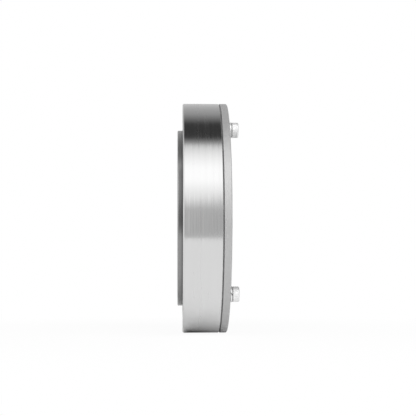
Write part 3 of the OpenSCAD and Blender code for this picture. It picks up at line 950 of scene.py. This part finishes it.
def build_room(stage):
    """The room as the object sees it, in bands round the turning axis: grey walls, a long soft box
    over the near side, a dark ceiling and a pale wall behind. Towards +X it is an even grey, and
    towards -X it is white. Camera rays and transmission rays see it white all round."""
    box, wall, gap, back = stage.box_light, stage.wall_light, stage.gap_light, stage.back_light
    # Each band's elevation in degrees round the turning axis, from level in front (0) over the top
    # (90) to level behind (180), and its light
    stops = (
        (-180, back), (-150, wall), (4, wall), (15, 0.74 * box), (32, box), (45, box),
        (58, 0.84 * box), (69, 0.64 * box), (74, 0.22 * box), (80, gap), (101, gap),
        (120, 0.54 * back), (145, 0.8 * back), (180, back),
    )
    # How far a direction points along X where a side wall begins and where it is full
    side_from, side_full = 0.55, 0.9
    world = bpy.data.worlds.new("studio_room")
    world.use_nodes = True
    tree = world.node_tree
    tree.nodes.clear()
    way = add_node(tree, "ShaderNodeTexCoord").outputs["Generated"]
    x = add_node(tree, "ShaderNodeSeparateXYZ", {0: way}).outputs[0]
    height = ranged(tree, angle_round(tree, way), -math.pi, math.pi, 0.0, 1.0)
    bands = add_node(tree, "ShaderNodeValToRGB", {0: height})
    ramp = bands.color_ramp
    while len(ramp.elements) < len(stops):
        ramp.elements.new(0.5)
    for element, (degrees, light) in zip(ramp.elements, stops):
        element.position = degrees / 360 + 0.5
        element.color = (light / box, light / box, light / box, 1.0)
    colour = bands.outputs[0]
    for sign, light in ((1, wall), (-1, stage.side_light)):
        share = ranged(tree, x, sign * side_from, sign * side_full, 0.0, 1.0, smooth=True)
        side = (light / box, light / box, light / box, 1.0)
        colour = add_node(
            tree, "ShaderNodeMix", {"Factor": share, 6: colour, 7: side}, data_type="RGBA"
        ).outputs[2]
    rays = add_node(tree, "ShaderNodeLightPath").outputs
    seen = math_of(tree, "MAXIMUM", rays["Is Camera Ray"], rays["Is Transmission Ray"])
    room = add_node(tree, "ShaderNodeBackground", {"Color": colour, "Strength": box})
    white = add_node(tree, "ShaderNodeBackground", {"Color": (1, 1, 1, 1), "Strength": 1.0})
    both = {0: seen, 1: room.outputs[0], 2: white.outputs[0]}
    both = add_node(tree, "ShaderNodeMixShader", both)
    add_node(tree, "ShaderNodeOutputWorld", {"Surface": both.outputs[0]})
    bpy.context.scene.world = world


def level_card(name, low, high, height, material):
    """A flat card that lies level at a height, from its low corner to its high one, facing up."""
    mesh = bpy.data.meshes.new(name)
    corners = [
        (low[0], low[1], height), (high[0], low[1], height), (high[0], high[1], height),
        (low[0], high[1], height),
    ]
    mesh.from_pydata(corners, [], [(0, 1, 2, 3)])
    mesh.materials.append(material)
    obj = new_object(name, mesh)
    return obj


def build_floor(stage):
    """A pale floor: white to the camera away from the object, and with the object's soft shadow
    near it. In front, a grey mat that only the metal's reflections show."""
    # For each kind of ray: the two distances from the object's middle, in metres, between which
    # the floor turns white, and how white it is at them
    whites = (
        ("Is Camera Ray", 0.05, 0.2, 0.93, 1.0), ("Is Glossy Ray", 0.004, 0.05, 0.0, 0.92),
        ("Is Transmission Ray", 0.004, 0.05, 0.0, 0.92),
    )
    reach = 3.0
    mat_half_width, mat_edge, mat_lift = 0.8, -0.121, 1 * MM
    material, tree = empty_material("pale_floor")
    level = {0: place_on(tree), 1: (1, 1, 0)}
    level = add_node(tree, "ShaderNodeVectorMath", level, operation="MULTIPLY")
    away = add_node(tree, "ShaderNodeVectorMath", {0: level.outputs[0]}, operation="LENGTH")
    rays = add_node(tree, "ShaderNodeLightPath").outputs
    share = 0.0
    for ray, near, far, low, high in whites:
        white = ranged(tree, away.outputs["Value"], near, far, low, high, smooth=True)
        share = math_of(tree, "MAXIMUM", math_of(tree, "MULTIPLY", rays[ray], white), share)
    matte = add_node(tree, "ShaderNodeBsdfDiffuse", {"Color": linear(stage.floor_colour)})
    glow = add_node(tree, "ShaderNodeEmission", {"Color": (1, 1, 1, 1), "Strength": 1.0})
    both = {0: share, 1: matte.outputs[0], 2: glow.outputs[0]}
    both = add_node(tree, "ShaderNodeMixShader", both)
    add_node(tree, "ShaderNodeOutputMaterial", {"Surface": both.outputs[0]})
    level_card("floor", (-reach, -reach), (reach, reach), FLOOR_HEIGHT, material)
    grey, tree = empty_material("grey_mat")
    wall = (stage.wall_light, stage.wall_light, stage.wall_light, 1)
    felt = add_node(tree, "ShaderNodeEmission", {"Color": wall, "Strength": 1.0})
    add_node(tree, "ShaderNodeOutputMaterial", {"Surface": felt.outputs[0]})
    low, high = (-mat_half_width, -reach), (mat_half_width, mat_edge)
    mat = level_card("grey_mat", low, high, FLOOR_HEIGHT + mat_lift, grey)
    for ray in ("camera", "diffuse", "shadow", "transmission"):
        setattr(mat, "visible_" + ray, False)


def build_lamp(stage):
    """One soft lamp, high on the near side. It lights the matte surfaces, and the metal doesn't
    mirror its outline."""
    towards = Vector((0.15, -0.8, 0.6)).normalized()
    distance = 0.7
    data = bpy.data.lights.new("key_lamp", "AREA")
    data.shape = "RECTANGLE"
    data.size, data.size_y = 1.0, 0.6
    data.energy = stage.key_power
    lamp = new_object("key_lamp", data)
    facing = towards.to_track_quat("Z", "Y").to_matrix().to_4x4()
    lamp.matrix_world = Matrix.Translation(towards * distance) @ facing
    lamp.visible_camera = False
    lamp.visible_glossy = False


def build_camera(stage):
    """A camera a little below the turning axis, looking slightly up and across, so that the object
    stands left of the middle and a little low in the frame."""
    data = bpy.data.cameras.new("camera")
    data.lens = stage.lens
    camera = new_object("camera", data)
    distance, elevation = stage.camera_distance, stage.camera_elevation
    level, height = distance * math.cos(elevation), distance * math.sin(elevation)
    eye = Matrix.Translation((stage.camera_along, -level, height))
    aim = Vector(stage.camera_aim).to_track_quat("-Z", "Y").to_matrix().to_4x4()
    camera.matrix_world = eye @ aim @ Matrix.Rotation(stage.camera_roll, 4, "Z")
    bpy.context.scene.camera = camera


class GEAR_PT_panel(bpy.types.Panel):
    """The add-on's panel"""

    bl_idname = "GEAR_PT_panel"
    bl_label = "Strain Wave Gear"
    bl_space_type = "VIEW_3D"
    bl_region_type = "UI"
    bl_category = "Strain Wave Gear"

    def draw(self, context):
        scene = context.scene
        for operator in STEPS:
            self.layout.operator(operator.bl_idname)
        for group in (scene.gear_sizes, scene.gear_finishes, scene.gear_stage):
            for name in group.__annotations__:
                self.layout.prop(group, name)


STEPS = (
    GEAR_OT_stage, GEAR_OT_bearing_rings, GEAR_OT_flexible_gear, GEAR_OT_wave_bearing,
    GEAR_OT_fasteners,
)
CLASSES = (GearSizes, GearFinishes, GearStage) + STEPS + (GEAR_PT_panel,)


def register():
    """Adds the classes and the three groups of settings."""
    for item in CLASSES:
        bpy.utils.register_class(item)
    bpy.types.Scene.gear_sizes = bpy.props.PointerProperty(type=GearSizes)
    bpy.types.Scene.gear_finishes = bpy.props.PointerProperty(type=GearFinishes)
    bpy.types.Scene.gear_stage = bpy.props.PointerProperty(type=GearStage)


def unregister():
    """Takes the settings and the classes away."""
    del bpy.types.Scene.gear_sizes
    del bpy.types.Scene.gear_finishes
    del bpy.types.Scene.gear_stage
    for item in reversed(CLASSES):
        bpy.utils.unregister_class(item)


def main():
    """Builds the scene."""
    register()
    bpy.ops.strain_gear.stage()
    bpy.ops.strain_gear.bearing_rings()
    bpy.ops.strain_gear.flexible_gear()
    bpy.ops.strain_gear.wave_bearing()
    bpy.ops.strain_gear.fasteners()


if __name__ == "__main__":
    main()
